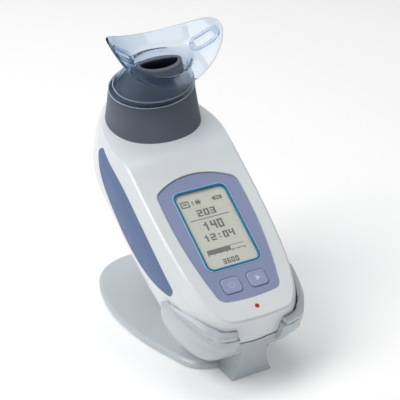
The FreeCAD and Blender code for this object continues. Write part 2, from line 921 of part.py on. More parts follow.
def charge_pin(side):
    x = side * contact_offset
    low = foot_drop + cover_thick + cradle_board_thick + pin_travel + pin_gap
    tip = touch_height(x, contact_y) - 0.15
    pin = rod(pin_radius, V(x, contact_y, low), tip - low, UP)
    top = [e for e in pin.Edges if e.BoundBox.ZMin > tip - 0.01]
    return pin.makeFillet(0.6, top)


def contact_rods():
    """Charge contacts, upright rods through the rear cover's wall, in the handset's frame."""
    rods = []
    for side in (-1, 1):
        upright = rod(contact_radius, V(side * contact_offset, contact_y, 5), 14, UP)
        upright.Placement = LOCAL.inverse().multiply(upright.Placement)
        rods.append(upright.common(body_shell))
    return rods


def power_inlet():
    back = block_back - pocket_wall
    body = box(-inlet_half, inlet_half, back - inlet_long, back, foot_drop + cover_thick, inlet_height + inlet_half)
    body = body.cut(rod(inlet_radius, V(0, back - inlet_long + 1.5, inlet_height), inlet_long, BACK))
    return body.fuse(rod(0.8, V(0, back - inlet_long + 1.0, inlet_height), inlet_long - 2.0, BACK))


def build():
    handset = {
        "front_cover": front_cover(), "rear_cover": rear_cover(),
        "left_grip": grip(-1), "right_grip": grip(1),
        "display_surround": display_surround(), "display_bezel": display_bezel(),
        "display_window": display_window(), "lcd_module": lcd_module(),
        "power_key": key(-1), "select_key": key(1), "key_mat": key_mat(),
        "dome_switches": Part.makeCompound(dome_switch_discs()),
        "main_board": main_board(), "control_chips": Part.makeCompound(control_chips()),
        "sounder": sounder(), "pressure_sensor": pressure_sensor(), "charge_light": charge_light(),
        "battery_cells": Part.makeCompound(cells()), "battery_tray": battery_tray(),
        "air_duct": air_duct(), "valve_motor": valve_motor(), "resistance_flap": resistance_flap(),
        "head_seat": head_seat(), "seat_gasket": seat_gasket(),
        "charge_contacts": Part.makeCompound(contact_rods()),
        "case_screws": Part.makeCompound(screw_solids()),
        "valve_head": valve_head(), "valve_plate": valve_plate(),
        "inhale_flap": inhale_flap(), "exhale_flap": exhale_flap(), "mouthpiece": mouthpiece(),
    }
    for name, shape in handset.items():
        save(name, stand(shape))
    cradle = {
        "cradle_shell": cradle_shell(), "base_cover": base_cover(),
        "rubber_feet": Part.makeCompound(rubber_feet()), "base_screws": Part.makeCompound(base_screws()),
        "cradle_board": cradle_board(), "contact_block": contact_block(),
        "left_charge_pin": charge_pin(-1), "right_charge_pin": charge_pin(1),
        "power_inlet": power_inlet(),
    }
    for name, shape in cradle.items():
        save(name, shape)


build()
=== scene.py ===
import json
import math

import bmesh
import bpy
from mathutils import Matrix, Vector


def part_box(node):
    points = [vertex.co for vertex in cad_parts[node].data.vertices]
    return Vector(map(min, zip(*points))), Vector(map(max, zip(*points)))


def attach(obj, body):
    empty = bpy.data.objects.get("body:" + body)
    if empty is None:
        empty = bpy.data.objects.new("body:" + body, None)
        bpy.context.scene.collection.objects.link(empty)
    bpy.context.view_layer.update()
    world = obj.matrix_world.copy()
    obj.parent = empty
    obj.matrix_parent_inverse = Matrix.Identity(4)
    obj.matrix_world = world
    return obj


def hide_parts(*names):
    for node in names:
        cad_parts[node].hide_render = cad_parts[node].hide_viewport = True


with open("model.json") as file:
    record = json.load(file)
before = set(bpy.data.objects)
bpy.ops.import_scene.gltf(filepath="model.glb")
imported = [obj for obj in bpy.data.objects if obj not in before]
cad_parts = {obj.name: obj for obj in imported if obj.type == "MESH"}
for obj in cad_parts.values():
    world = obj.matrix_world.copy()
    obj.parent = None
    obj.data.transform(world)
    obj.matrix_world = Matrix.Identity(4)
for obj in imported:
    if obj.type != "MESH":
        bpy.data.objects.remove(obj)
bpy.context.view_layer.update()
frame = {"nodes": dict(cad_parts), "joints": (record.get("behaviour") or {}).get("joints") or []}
MM = 0.001

# Camera: where it stands, the way it looks, and its lens
CAMERA_PLACE = Vector((-322.5, -576.3, 413.4)) * MM
CAMERA_TURN = math.radians(-29.7)
CAMERA_RISE = math.radians(27.2)
CAMERA_LENS = 125.1
CAMERA_SENSOR = 36.0
CAMERA_NEAR = 0.01

# Charge light, whose front end marks the origin of the handset's frame
LIGHT_LONG = 7.9 * MM
LIGHT_SUNK = 0.1 * MM


def joint_axis(name):
    joint = next(j for j in frame["joints"] if j["name"] == name)
    return Vector(joint["axis"]).normalized()


def face_frame():
    """Handset frame: across, up the body and out of the face, from the charge light."""
    up = joint_axis("handset_lift")
    out = joint_axis("head_pull")
    low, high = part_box("charge_light")
    origin = (Vector(low) + Vector(high)) / 2 + out * (LIGHT_LONG / 2 + LIGHT_SUNK)
    turn = Matrix((up.cross(out), up, out)).transposed().to_4x4()
    return Matrix.Translation(origin) @ turn


FACE = face_frame()


def camera():
    right = Vector((math.cos(CAMERA_TURN), math.sin(CAMERA_TURN), 0))
    back = Vector((math.sin(CAMERA_TURN) * math.cos(CAMERA_RISE),
                   -math.cos(CAMERA_TURN) * math.cos(CAMERA_RISE), math.sin(CAMERA_RISE)))
    turn = Matrix((right, back.cross(right), back)).transposed().to_4x4()
    eye = bpy.data.objects.new("camera", bpy.data.cameras.new("camera"))
    eye.matrix_world = Matrix.Translation(CAMERA_PLACE) @ turn
    eye.data.lens = CAMERA_LENS
    eye.data.sensor_width = CAMERA_SENSOR
    eye.data.clip_start = CAMERA_NEAR
    bpy.context.collection.objects.link(eye)
    bpy.context.scene.camera = eye


camera()


# Materials

TONE_DRIFT = 30 * MM
GLOSS_DRIFT = 9 * MM
NOISE_LOW = 0.3
NOISE_HIGH = 0.7


def new_material(name):
    material = bpy.data.materials.new(name)
    material.use_nodes = True
    tree = material.node_tree
    return material, tree.nodes, tree.links, tree.nodes["Principled BSDF"]


def noise(nodes, links, size, detail=2.0, stretch=(1, 1, 1)):
    """Noise in the piece's own metres, whose features are about the given size."""
    place = nodes.new("ShaderNodeTexCoord")
    spread = nodes.new("ShaderNodeMapping")
    spread.inputs["Scale"].default_value = stretch
    cloud = nodes.new("ShaderNodeTexNoise")
    cloud.inputs["Scale"].default_value = 1.0 / size
    cloud.inputs["Detail"].default_value = detail
    links.new(place.outputs["Object"], spread.inputs["Vector"])
    links.new(spread.outputs["Vector"], cloud.inputs["Vector"])
    return cloud.outputs["Fac"]


def spread_colour(nodes, links, shader, value, colour, change):
    """Colour that drifts a little about its middle along a noise value."""
    ramp = nodes.new("ShaderNodeValToRGB")
    ramp.color_ramp.elements[0].position = NOISE_LOW
    ramp.color_ramp.elements[1].position = NOISE_HIGH
    ramp.color_ramp.elements[0].color = (*(c * (1 - change) for c in colour), 1)
    ramp.color_ramp.elements[1].color = (*(min(1, c * (1 + change)) for c in colour), 1)
    links.new(value, ramp.inputs["Fac"])
    links.new(ramp.outputs["Color"], shader.inputs["Base Color"])


def spread_value(nodes, links, value, low, high, socket):
    """Value between low and high along a noise value."""
    span = nodes.new("ShaderNodeMapRange")
    span.inputs["From Min"].default_value = NOISE_LOW
    span.inputs["From Max"].default_value = NOISE_HIGH
    span.inputs["To Min"].default_value = low
    span.inputs["To Max"].default_value = high
    links.new(value, span.inputs["Value"])
    links.new(span.outputs["Result"], socket)


def moulded(name, colour, roughness, grain=0.4, grain_size=0.35 * MM, round_edge=0.25 * MM,
            change=0.02, coat=0.0):
    """Moulded plastic: fine spark texture, softly rounded edges and a slow drift of tone."""
    material, nodes, links, shader = new_material(name)
    spread_colour(nodes, links, shader, noise(nodes, links, TONE_DRIFT), colour, change)
    spread_value(nodes, links, noise(nodes, links, GLOSS_DRIFT, 4.0),
                 roughness * 0.85, roughness * 1.15, shader.inputs["Roughness"])
    edge = nodes.new("ShaderNodeBevel")
    edge.samples = 6
    edge.inputs["Radius"].default_value = round_edge
    bump = nodes.new("ShaderNodeBump")
    bump.inputs["Strength"].default_value = grain
    bump.inputs["Distance"].default_value = 0.02 * MM
    links.new(noise(nodes, links, grain_size, 1.0), bump.inputs["Height"])
    links.new(edge.outputs["Normal"], bump.inputs["Normal"])
    links.new(bump.outputs["Normal"], shader.inputs["Normal"])
    shader.inputs["Coat Weight"].default_value = coat
    shader.inputs["Coat Roughness"].default_value = 0.08
    return material


def metal(name, colour, roughness, stretch):
    """Turned or pressed metal with fine lines."""
    material, nodes, links, shader = new_material(name)
    spread_colour(nodes, links, shader, noise(nodes, links, 3 * MM), colour, 0.06)
    spread_value(nodes, links, noise(nodes, links, 0.4 * MM, 3.0, stretch),
                 roughness * 0.7, roughness * 1.4, shader.inputs["Roughness"])
    shader.inputs["Metallic"].default_value = 1.0
    return material


def clear(name, colour, roughness, ior, rim):
    """Clear moulding, tinted more where it is seen edge-on."""
    material, nodes, links, shader = new_material(name)
    facing = nodes.new("ShaderNodeLayerWeight")
    facing.inputs["Blend"].default_value = 0.35
    ramp = nodes.new("ShaderNodeValToRGB")
    ramp.color_ramp.elements[0].color = (*colour, 1)
    ramp.color_ramp.elements[1].color = (*rim, 1)
    links.new(facing.outputs["Facing"], ramp.inputs["Fac"])
    links.new(ramp.outputs["Color"], shader.inputs["Base Color"])
    spread_value(nodes, links, noise(nodes, links, 6 * MM), roughness * 0.6, roughness * 1.4,
                 shader.inputs["Roughness"])
    shader.inputs["Transmission Weight"].default_value = 1.0
    shader.inputs["IOR"].default_value = ior
    shader.inputs["Coat Weight"].default_value = 0.35
    shader.inputs["Coat Roughness"].default_value = 0.04
    return material


def film(name, colour, roughness, body):
    """Thin clear sheet that lets most light straight through."""
    material, nodes, links, shader = new_material(name)
    spread_colour(nodes, links, shader, noise(nodes, links, 5 * MM), colour, 0.02)
    spread_value(nodes, links, noise(nodes, links, 4 * MM), roughness * 0.7, roughness * 1.3,
                 shader.inputs["Roughness"])
    shader.inputs["Alpha"].default_value = body
    return material


WHITE = moulded("white_moulding", (0.78, 0.82, 0.83), 0.34, coat=0.25)
CRADLE = moulded("cradle_moulding", (0.55, 0.6, 0.63), 0.36, coat=0.2)
GRIP = moulded("soft_grip", (0.135, 0.19, 0.35), 0.62, grain=0.8, grain_size=0.5 * MM, change=0.05)
PANEL = moulded("lavender_panel", (0.27, 0.315, 0.49), 0.42, change=0.03)
KEYS = moulded("lavender_keys", (0.32, 0.365, 0.55), 0.40, change=0.03, round_edge=0.5 * MM)
RIM = moulded("blue_rim", (0.012, 0.17, 0.33), 0.28, coat=0.4)
SLATE = moulded("slate_head", (0.118, 0.142, 0.178), 0.5, grain=0.6, change=0.05,
                round_edge=0.35 * MM)
SOFT = moulded("grey_silicone", (0.55, 0.58, 0.60), 0.5)
INNER = moulded("inner_grey", (0.30, 0.32, 0.35), 0.5)
BLACK = moulded("black_moulding", (0.025, 0.025, 0.028), 0.5)
FOOT = moulded("foot_rubber", (0.04, 0.04, 0.042), 0.75, grain=0.9)
BOARD = moulded("solder_mask", (0.02, 0.14, 0.06), 0.35, coat=0.5)
LIGHT = moulded("red_lens", (0.62, 0.015, 0.03), 0.22, coat=0.6)
GLASS = moulded("display_back", (0.66, 0.67, 0.57), 0.4, grain=0.2, change=0.03)
CELL = moulded("cell_jacket", (0.06, 0.1, 0.35), 0.3, coat=0.6)
STEEL = metal("bright_steel", (0.62, 0.62, 0.63), 0.25, (1, 1, 8))
GOLD = metal("plated_contacts", (0.83, 0.62, 0.28), 0.2, (1, 8, 1))
WINDOW = film("display_window", (0.9, 0.93, 0.95), 0.05, 0.1)
BEAD = film("clear_bead", (0.74, 0.86, 0.95), 0.15, 0.62)
CYAN = moulded("pale_line", (0.32, 0.66, 0.88), 0.3, coat=0.3)
INK = moulded("display_figures", (0.075, 0.065, 0.05), 0.6, grain=0.2)
SIGN = moulded("pale_sign", (0.62, 0.64, 0.82), 0.5, grain=0.2)
MOUTH = clear("clear_blue", (0.8, 0.86, 0.92), 0.06, 1.08, (0.2, 0.38, 0.62))

FINISHES = {
    "front_cover": WHITE, "rear_cover": WHITE, "left_grip": GRIP, "right_grip": GRIP,
    "display_surround": PANEL, "display_bezel": RIM, "display_window": WINDOW,
    "lcd_module": GLASS, "power_key": KEYS, "select_key": KEYS, "key_mat": SOFT,
    "dome_switches": STEEL, "main_board": BOARD, "control_chips": BLACK, "sounder": BLACK,
    "pressure_sensor": BLACK, "charge_light": LIGHT, "battery_cells": CELL,
    "battery_tray": BLACK, "air_duct": INNER, "valve_motor": STEEL, "resistance_flap": INNER,
    "head_seat": INNER, "seat_gasket": SOFT, "charge_contacts": GOLD, "case_screws": STEEL,
    "valve_head": SLATE, "valve_plate": SLATE, "inhale_flap": SOFT, "exhale_flap": SOFT,
    "mouthpiece": MOUTH, "cradle_shell": CRADLE, "base_cover": CRADLE, "rubber_feet": FOOT,
    "base_screws": STEEL, "cradle_board": BOARD, "contact_block": BLACK,
    "left_charge_pin": GOLD, "right_charge_pin": GOLD, "power_inlet": BLACK,
}


def dress_nodes():
    for name, material in FINISHES.items():
        node = frame["nodes"][name]
        node.data.materials.clear()
        node.data.materials.append(material)


dress_nodes()


# Shaping helpers: a piece is drawn in the handset's frame, in millimetres, and then placed

CREASE = math.radians(38)
SOFTENED = math.radians(40)


def crease_edges(shape, creases):
    """Smooth shading, broken at the real edges where creases are wanted."""
    for face in shape.faces:
        face.smooth = True
    for edge in shape.edges:
        edge.smooth = not creases or not edge.is_manifold or edge.calc_face_angle() < CREASE


def moved_verts(geometry):
    return [g for g in geometry if isinstance(g, bmesh.types.BMVert)]


def ring_loft(places, closed=False, segments=72):
    """Skin over rings, each a function that gives the point at a turn."""
    shape = bmesh.new()
    turn = shape.verts.layers.float.new("turn")
    loop = bmesh.ops.create_circle(shape, segments=segments, radius=1.0)["verts"]
    for v in loop:
        v[turn] = math.atan2(v.co.y, v.co.x)
        v.co = places[0](v[turn])
    first = edges = shape.edges[:]
    for place in places[1:]:
        made = bmesh.ops.extrude_edge_only(shape, edges=edges)["geom"]
        edges = [g for g in made if isinstance(g, bmesh.types.BMEdge)]
        for v in moved_verts(made):
            v.co = place(v[turn])
    if closed:
        bmesh.ops.bridge_loops(shape, edges=first + edges)
    bmesh.ops.recalc_face_normals(shape, faces=shape.faces)
    return shape


def add_piece(name, shape, finish, body, soften=0.0, smooth_levels=0):
    """Turn a finished shape into a piece that moves with a body."""
    bmesh.ops.transform(shape, matrix=FACE @ Matrix.Scale(MM, 4), verts=shape.verts)
    crease_edges(shape, not smooth_levels)
    mesh = bpy.data.meshes.new(name)
    shape.to_mesh(mesh)
    shape.free()
    mesh.materials.append(finish)
    made = bpy.data.objects.new(name, mesh)
    bpy.context.collection.objects.link(made)
    if soften:
        edge = made.modifiers.new("softened_edges", "BEVEL")
        edge.width = soften * MM
        edge.segments = 2
        edge.limit_method = "ANGLE"
        edge.angle_limit = SOFTENED
        edge.harden_normals = True
    if smooth_levels:
        skin = made.modifiers.new("smooth_skin", "SUBSURF")
        skin.levels = smooth_levels
        skin.render_levels = smooth_levels
    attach(made, body)
    return made


def oblong(shape, wide, tall, corner, middle, level, segments=8):
    """Flat face with rounded corners, drawn on a level above the face."""
    made = bmesh.ops.create_grid(shape, x_segments=1, y_segments=1, size=0.5)["verts"]
    bmesh.ops.scale(shape, vec=(wide, tall, 1), verts=made)
    bmesh.ops.translate(shape, vec=(*middle, level), verts=made)
    before = set(shape.faces) - {f for v in made for f in v.link_faces}
    bmesh.ops.bevel(shape, geom=made, offset=corner, offset_type="OFFSET", segments=segments,
                    profile=0.5, affect="VERTICES", material=-1)
    return [f for f in shape.faces if f not in before]


def thicken(shape, faces, height):
    """Raise faces into a closed slab."""
    grown = bmesh.ops.extrude_face_region(shape, geom=faces)["geom"]
    bmesh.ops.translate(shape, vec=(0, 0, height), verts=moved_verts(grown))
    bmesh.ops.recalc_face_normals(shape, faces=shape.faces)


def frame_slab(shape, wide, tall, corner, middle, level, border, height):
    """Closed ring with rounded corners, border wide and height thick."""
    face = oblong(shape, wide, tall, corner, middle, level)[0]
    bmesh.ops.inset_region(shape, faces=[face], thickness=border, use_boundary=True,
                           use_even_offset=True)
    ring = [f for e in face.edges for f in e.link_faces if f is not face]
    bmesh.ops.delete(shape, geom=[face], context="FACES_ONLY")
    thicken(shape, ring, height)


# Display

DISPLAY_MIDDLE = (0.0, 48.6)
OPENING_WIDE = 29.9
OPENING_TALL = 46.2
PANEL_LEVEL = -0.7
RIM_LEVEL = -0.4
GLASS_LEVEL = -0.95
GLASS_THICK = 0.4
LCD_LEVEL = -1.75
LCD_THICK = 0.2
LINE_THICK = 0.16
GAP = 0.02
# Frames round the opening: how much wider and taller they are, corner radius, border
RIM_FACE = (2.1, 2.3, 4.4, 1.05)
RIM_WALL = (1.2, 1.0, 4.0, 0.55)
RIM_LINE = (3.0, 3.2, 4.8, 0.44)
# Sheets in the opening: how much wider and taller they are, corner radius
GLASS_SHEET = (-0.1, -0.1, 3.4)
LCD_SHEET = (0.9, 0.8, 3.9)


def display_frame(shape, outline, level, height):
    wider, taller, corner, border = outline
    frame_slab(shape, OPENING_WIDE + wider, OPENING_TALL + taller, corner, DISPLAY_MIDDLE,
               level, border, height)


def display_sheet(name, outline, top, thick, finish):
    shape = bmesh.new()
    wider, taller, corner = outline
    face = oblong(shape, OPENING_WIDE + wider, OPENING_TALL + taller, corner, DISPLAY_MIDDLE,
                  top - thick)
    thicken(shape, face, thick)
    return add_piece(name, shape, finish, "handset")


def display_rim():
    """Blue rim, with its wall down to the display."""
    shape = bmesh.new()
    display_frame(shape, RIM_FACE, PANEL_LEVEL + GAP, RIM_LEVEL - PANEL_LEVEL - GAP)
    display_frame(shape, RIM_WALL, LCD_LEVEL + GAP, PANEL_LEVEL - LCD_LEVEL - 2 * GAP)
    rim = add_piece("display_rim", shape, RIM, "handset", soften=0.12)
    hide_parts("display_bezel")


def display_line():
    """Pale line round the blue rim."""
    shape = bmesh.new()
    display_frame(shape, RIM_LINE, PANEL_LEVEL + GAP, LINE_THICK)
    add_piece("display_line", shape, CYAN, "handset", soften=0.05)


def display_sheets():
    """Clear window, and the display's sheet below it."""
    glass = display_sheet("display_glass", GLASS_SHEET, GLASS_LEVEL, GLASS_THICK, WINDOW)
    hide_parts("display_window")
    display_sheet("lcd_sheet", LCD_SHEET, LCD_LEVEL, LCD_THICK, GLASS)


# Patterns are rows of cells from the top down, each row's filled cells as bits
FIGURES = {"0": (7, 5, 5, 5, 7), "1": (2, 6, 2, 2, 2), "2": (7, 1, 7, 4, 7),
           "3": (7, 1, 7, 1, 7), "4": (5, 5, 7, 1, 1), "6": (7, 4, 7, 5, 7),
           ":": (0, 2, 0, 2, 0)}
FIGURE_COLUMNS = 3
# Numbers shown: text, left and lower edge, a figure's width and height, gap between figures
NUMBERS = (("1", -6.6, 64.2, 1.5, 2.8, 0.5), ("203", -6.2, 57.0, 3.1, 4.0, 0.75),
           ("140", -6.0, 48.2, 3.3, 5.2, 0.75), ("12:04", -8.9, 41.9, 3.0, 4.0, 0.65),
           ("3600", -5.2, 27.4, 1.95, 3.0, 0.5))
# Small signs: columns, pattern, left and lower edge, width and height
SIGNS = ((7, (127, 65, 93, 73, 65, 127), -12.9, 63.7, 4.9, 3.9),
         (5, (10, 30, 31, 30, 10), -4.3, 64.1, 3.2, 3.0),
         (8, (127, 235, 235, 235, 127), 5.7, 64.4, 5.8, 2.3))
# Plain bars: left and lower edge, width and height
BARS = ((-12.2, 55.2, 23.3, 0.45), (-11.3, 34.3, 13.7, 2.8), (2.4, 36.75, 8.2, 0.35),
        (2.4, 34.3, 8.4, 0.35))
# Scale below the long bar: where it starts, its step, a mark's width and the marks' lengths
SCALE_START = (-11.3, 34.3)
SCALE_STEP = 3.55
SCALE_MARK = 0.6
SCALE_DROPS = (0.9, 0.5, 0.5, 0.7, 0.5, 0.5, 0.9)
INK_THICK = 0.04


def cells(shape, columns, pattern, left, low, wide, tall):
    """Flat block of cells, of which only the pattern's stay."""
    rows = len(pattern)
    made = bmesh.ops.create_grid(shape, x_segments=columns, y_segments=rows, size=0.5)["verts"]
    bmesh.ops.scale(shape, vec=(wide, tall, 1), verts=made)
    bmesh.ops.translate(shape, vec=(left + wide / 2, low + tall / 2, 0), verts=made)
    unwanted = []
    for face in {f for v in made for f in v.link_faces}:
        middle = face.calc_center_median()
        column = int((middle.x - left) / wide * columns)
        row = int((low + tall - middle.y) / tall * rows)
        if not pattern[row] >> (columns - 1 - column) & 1:
            unwanted.append(face)
    bmesh.ops.delete(shape, geom=unwanted, context="FACES")


def number(shape, text, left, low, wide, tall, gap):
    for i, figure in enumerate(text):
        cells(shape, FIGURE_COLUMNS, FIGURES[figure], left + i * (wide + gap), low, wide, tall)


def bar(shape, left, low, wide, tall):
    cells(shape, 1, (1,), left, low, wide, tall)


def display_marks():
    """Plain numbers, scale and small signs behind the window."""
    shape = bmesh.new()
    for sign in SIGNS:
        cells(shape, *sign)
    for line in NUMBERS:
        number(shape, *line)
    for strip in BARS:
        bar(shape, *strip)
    left, top = SCALE_START
    for i, drop in enumerate(SCALE_DROPS):
        bar(shape, left + i * SCALE_STEP, top - drop, SCALE_MARK, drop)
    bmesh.ops.translate(shape, vec=(0, 0, LCD_LEVEL + GAP), verts=shape.verts)
    thicken(shape, shape.faces[:], INK_THICK)
    add_piece("display_marks", shape, INK, "handset")


# Keys

KEY_MIDDLES = ((-7.7, 14.7), (7.7, 14.7))
KEY_LEVEL = -0.2
SIGN_LIFT = 0.01
SIGN_THICK = 0.05
SIGN_RING = 1.75
SIGN_STROKE = 0.4
SIGN_GAP = (0.75, 0.9)
SIGN_BAR = (-0.2, 0.3, 0.4, 1.9)
POINTER = 1.9


def raise_sign(name, shape, middle, body):
    bmesh.ops.translate(shape, vec=(*middle, KEY_LEVEL + SIGN_LIFT), verts=shape.verts)
    thicken(shape, shape.faces[:], SIGN_THICK)
    add_piece(name, shape, SIGN, body)


def power_sign():
    """Open ring with a bar."""
    shape = bmesh.new()
    ring = bmesh.ops.create_circle(shape, cap_ends=True, segments=32, radius=SIGN_RING)["verts"]
    face = ring[0].link_faces[0]
    bmesh.ops.inset_region(shape, faces=[face], thickness=SIGN_STROKE, use_boundary=True)
    bmesh.ops.delete(shape, geom=[face], context="FACES_ONLY")
    half, low = SIGN_GAP
    gap = [f for f in shape.faces
           if f.calc_center_median().y > low and abs(f.calc_center_median().x) < half]
    bmesh.ops.delete(shape, geom=gap, context="FACES")
    bar(shape, *SIGN_BAR)
    raise_sign("power_sign", shape, KEY_MIDDLES[0], "power_button")


def select_sign():
    """Pointer."""
    shape = bmesh.new()
    bmesh.ops.create_circle(shape, cap_ends=True, segments=3, radius=POINTER)
    bmesh.ops.rotate(shape, matrix=Matrix.Rotation(math.radians(-90), 3, "Z"),
                     verts=shape.verts)
    raise_sign("select_sign", shape, KEY_MIDDLES[1], "select_button")


# Mouthpiece

# Flange: half width and half height of its outline, middle height, and its arch round the lips
FLANGE_HALF = (33.4, 20.3)
FLANGE_HEIGHT = 137.7
FLANGE_POWER = 2.1
FLANGE_TAPER = 0.054
FLANGE_BEND = 2.33
FLANGE_ARCH = (26.6, 9.74, 4.05)
FLANGE_LEAN = 0.129
FLANGE_REACH = 30
SHELL = 1.5

# Rings of the clear skirt: distance out of the face, half width, reach down and up, middle
SKIRT_RINGS = ((6.15, 25.5, 15.1, 15.1, 136.8), (6.9, 25.5, 15.1, 15.1, 136.8),
               (9.6, 24.6, 14.6, 14.6, 136.8), (10.3, 24.2, 14.2, 14.2, 136.8),
               (10.7, 23.5, 13.6, 13.6, 136.85), (13.5, 22.2, 13.0, 13.0, 137.0),
               (17.5, 20.4, 12.4, 12.3, 137.3), (21.0, 18.9, 12.1, 11.7, 137.7),
               (23.4, 18.4, 12.6, 10.6, 138.0))
SKIRT_TOP = 20
# Rings where the skirt turns out into the flange: drop behind it, half width, reach down and up
THROAT_RINGS = ((1.6, 18.3, 13.3, 9.6), (0.5, 18.8, 13.9, 9.9), (0.05, 19.9, 15.0, 10.8))
THROAT_HEIGHT = 138.3
# Rings from the throat to the flange's edge, as shares of the way
FLANGE_SHARES = (0.2, 0.5, 0.8, 0.95, 1.0)
# Beads on the skirt: ring and radius
SKIRT_EDGE = (6.6, 25.5, 15.1, 15.1, 136.8), 0.32
STEP_EDGE = (10.4, 24.0, 14.0, 14.0, 136.8), 0.22
# Bite lugs: width, height, corner radius, middle, distance behind the flange, border, thickness
LUG_OUTLINE = (13.0, 8.8, 3.2)
LUG_MIDDLE = (24.0, 139.4)
LUG_START = 0.3
LUG_BORDER = 1.5
LUG_THICK = 3.2
LUG_LONG_EDGE = 2.4


def flange_level(x, y):
    share = (x / FLANGE_REACH) ** 2
    flat, arch, curl = FLANGE_ARCH
    return flat + arch * share + curl * share ** 2 - FLANGE_LEAN * (y - FLANGE_HEIGHT)


def oval_point(turn, wide, low, top, middle):
    rise = math.sin(turn)
    return wide * math.cos(turn), middle + (top if rise > 0 else low) * rise


def flange_point(turn):
    across, along = (math.copysign(abs(c) ** (2 / FLANGE_POWER), c)
                     for c in (math.cos(turn), math.sin(turn)))
    x = FLANGE_HALF[0] * across * (1 + FLANGE_TAPER * along)
    bend = FLANGE_BEND * (x / FLANGE_REACH) ** 2
    return x, FLANGE_HEIGHT + FLANGE_HALF[1] * along + bend


def skirt_ring(ring, grow=0.0):
    out, wide, low, top, middle = ring
    return lambda a: (*oval_point(a, wide + grow, low + grow, top + grow, middle), out)


def throat_ring(ring):
    drop, wide, low, top = ring

    def place(a):
        x, y = oval_point(a, wide, low, top, THROAT_HEIGHT)
        return x, y, flange_level(x, y) - drop
    return place


def flange_ring(share):
    def place(a):
        x0, y0 = oval_point(a, *THROAT_RINGS[-1][1:], THROAT_HEIGHT)
        x1, y1 = flange_point(a)
        x, y = x0 + share * (x1 - x0), y0 + share * (y1 - y0)
        return x, y, flange_level(x, y)
    return place


def mouthpiece_shell():
    """One clear shell: rim over the collar, waist, throat and the curved flange."""
    places = [skirt_ring(r) for r in SKIRT_RINGS] + [throat_ring(r) for r in THROAT_RINGS]
    shape = ring_loft(places + [flange_ring(share) for share in FLANGE_SHARES])
    skirt = [f for f in shape.faces if f.calc_center_median().z < SKIRT_TOP]
    if sum(f.normal.x * f.calc_center_median().x for f in skirt) < 0:
        bmesh.ops.reverse_faces(shape, faces=shape.faces)
    bmesh.ops.solidify(shape, geom=shape.faces[:], thickness=SHELL)
    return shape


def bead(name, ring, radius):
    """Fine pale edge that runs round the clear skirt."""
    out, *oval = ring
    steps = [(radius * math.cos(math.radians(a)), radius * math.sin(math.radians(a)))
             for a in range(0, 360, 60)]
    shape = ring_loft([skirt_ring((out + rise, *oval), grow) for grow, rise in steps],
                      closed=True)
    add_piece(name, shape, BEAD, "mouth")


def bite_lug(name, side):
    """Open loop behind the flange that the teeth hold."""
    shape = bmesh.new()
    across, height = LUG_MIDDLE
    frame_slab(shape, *LUG_OUTLINE, (side * across, height), LUG_START, LUG_BORDER, LUG_THICK)
    long_edges = [e for e in shape.edges if e.calc_length() > LUG_LONG_EDGE]
    bmesh.ops.subdivide_edges(shape, edges=long_edges, cuts=3, use_grid_fill=True)
    for v in shape.verts:
        v.co.z += flange_level(v.co.x, v.co.y)
    add_piece(name, shape, MOUTH, "mouth", soften=0.6)


def mouthpiece():
    shell = add_piece("clear_mouthpiece", mouthpiece_shell(), MOUTH, "mouth", smooth_levels=1)
    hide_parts("mouthpiece")
    bead("skirt_edge", *SKIRT_EDGE)
    bead("step_edge", *STEP_EDGE)
    bite_lug("left_bite_lug", -1)
    bite_lug("right_bite_lug", 1)


# Valve head: oblique collar, its deck and the flat oval spigot, on the front cover's sloping seat

SEAT_START = 96.0
SEAT_SLOPE = math.tan(math.radians(17.0))
SEAT_SINK = 0.25
# An oval is half width, reach down and reach up, and has its own middle height and level
RING_LEVEL = 6.0
RING_HEIGHT = 136.8
RING_SPREAD = (25.6, 15.2, 15.2)
FOOT_LEVEL = -12.0
FOOT_HEIGHT = 122.8
FOOT_SPREAD = (27.4, 34.8, 27.8)
SPIGOT_LEVEL = 25.0
SPIGOT_HEIGHT = 138.5
SPIGOT_FOOT = (20.8, 12.3, 12.3)
SPIGOT_SPREAD = (13.6, 6.6, 3.8)
# Rings of the collar: shares of the way down its wall, then insets on the deck
WALL_SHARES = (1.0, 0.85, 0.62, 0.4, 0.2, 0.06, 0.015)
DECK_INSETS = (0.3, 3.0)
SPIGOT_STARTS = ((0.0, -0.3), (0.5, 0.1))
SPIGOT_LIP = ((0.4, 0.0), (0.0, 0.35), (0.0, 2.1), (0.4, 2.4))
SPIGOT_WALL = 2.4
COLLAR_WALL = 4.4
DECK_THICK = 2.2
INNER_SHARES = (0.4, 1.0)
# Exhale pocket: half width, lowest and highest level, and where the collar's top edge starts
POCKET_HALF = 6.5
POCKET_LEVELS = (-8.3, 3.2)
POCKET_HEIGHT = 149
POCKET_FACING = 0.8
# Steps into the wall: depth, and how far in from the step before
POCKET_STEPS = ((2.2, 0.0), (3.0, 1.7))


def seat_level(y):
    return -SEAT_SLOPE * (y - SEAT_START)


def collar_point(a, share, inset):
    """Point of the collar's wall, from its ring at 0 to past its foot at 1."""
    spread = (r + share * (f - r) - inset for r, f in zip(RING_SPREAD, FOOT_SPREAD))
    middle = RING_HEIGHT + share * (FOOT_HEIGHT - RING_HEIGHT)
    return (*oval_point(a, *spread, middle), RING_LEVEL + share * (FOOT_LEVEL - RING_LEVEL))


def collar_ring(share, inset=0.0):
    """Ring that lies a share of the way from the deck down to the seat."""
    def place(a):
        top, foot = (Vector(collar_point(a, s, inset)) for s in (0.0, 1.0))
        gap_top = top.z - seat_level(top.y) + SEAT_SINK
        gap_foot = foot.z - seat_level(foot.y) + SEAT_SINK
        return top.lerp(foot, share * gap_top / (gap_top - gap_foot))
    return place


def deck_ring(spread, height, level, inset=0.0):
    wide, low, top = (r - inset for r in spread)
    return lambda a: (*oval_point(a, wide, low, top, height), level)


